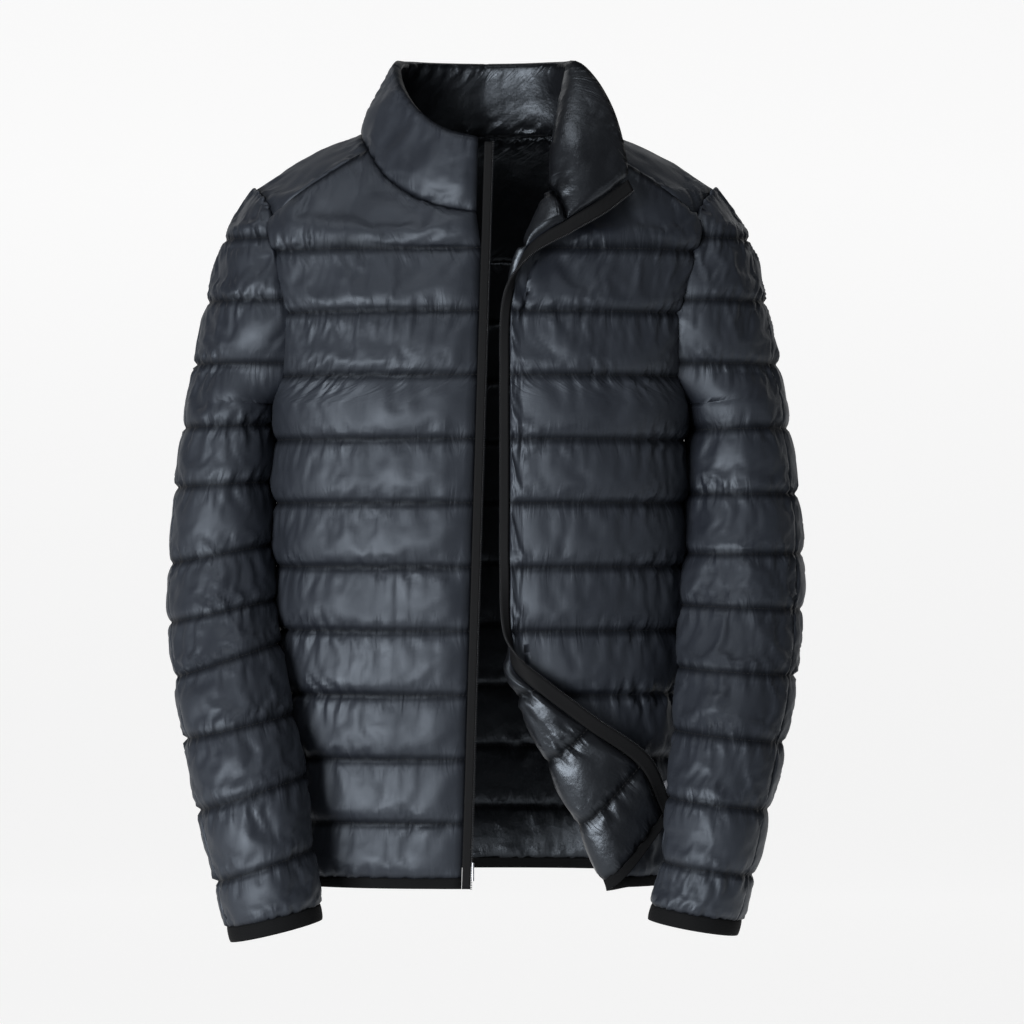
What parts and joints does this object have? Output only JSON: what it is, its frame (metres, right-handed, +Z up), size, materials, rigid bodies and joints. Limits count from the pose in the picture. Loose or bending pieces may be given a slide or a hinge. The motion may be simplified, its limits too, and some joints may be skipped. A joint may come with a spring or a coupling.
{
  "type": "puffer jacket",
  "caption": "Lightweight black down jacket, worn open, with horizontal quilted channels, a stand collar and a full-length zip; one lapel and one hem corner are turned back",
  "frame": {"origin": "the middle of the neck base, at the height where the shoulder line meets the collar: the wearer's shoulders carry the jacket here", "axes": "+Z up, +X towards the wearer's left, and the front of the jacket faces -Y"},
  "size_m": [0.5677, 0.3347, 0.7782],
  "materials": {
    "shell": "satin downproof nylon taffeta, charcoal black with a cool cast",
    "binding": "matt elastic binding tape",
    "zip_tape": "woven polyester zip tape with a coil",
    "zip_hardware": "satin grey enamel"
  },
  "bodies": {
    "root": {"front_right": "shell", "front_left": "shell", "back": "shell", "yoke": "shell", "collar": "shell", "sleeve_right_front": "shell", "sleeve_right_back": "shell", "sleeve_left_front": "shell", "sleeve_left_back": "shell", "hem_binding": "binding", "cuff_binding_right": "binding", "cuff_binding_left": "binding", "zip_tape_right": "zip_tape", "zip_tape_left": "zip_tape", "zip_pin": "zip_hardware", "zip_box": "zip_hardware", "zip_slider": "zip_hardware"}
  },
  "joints": []
}
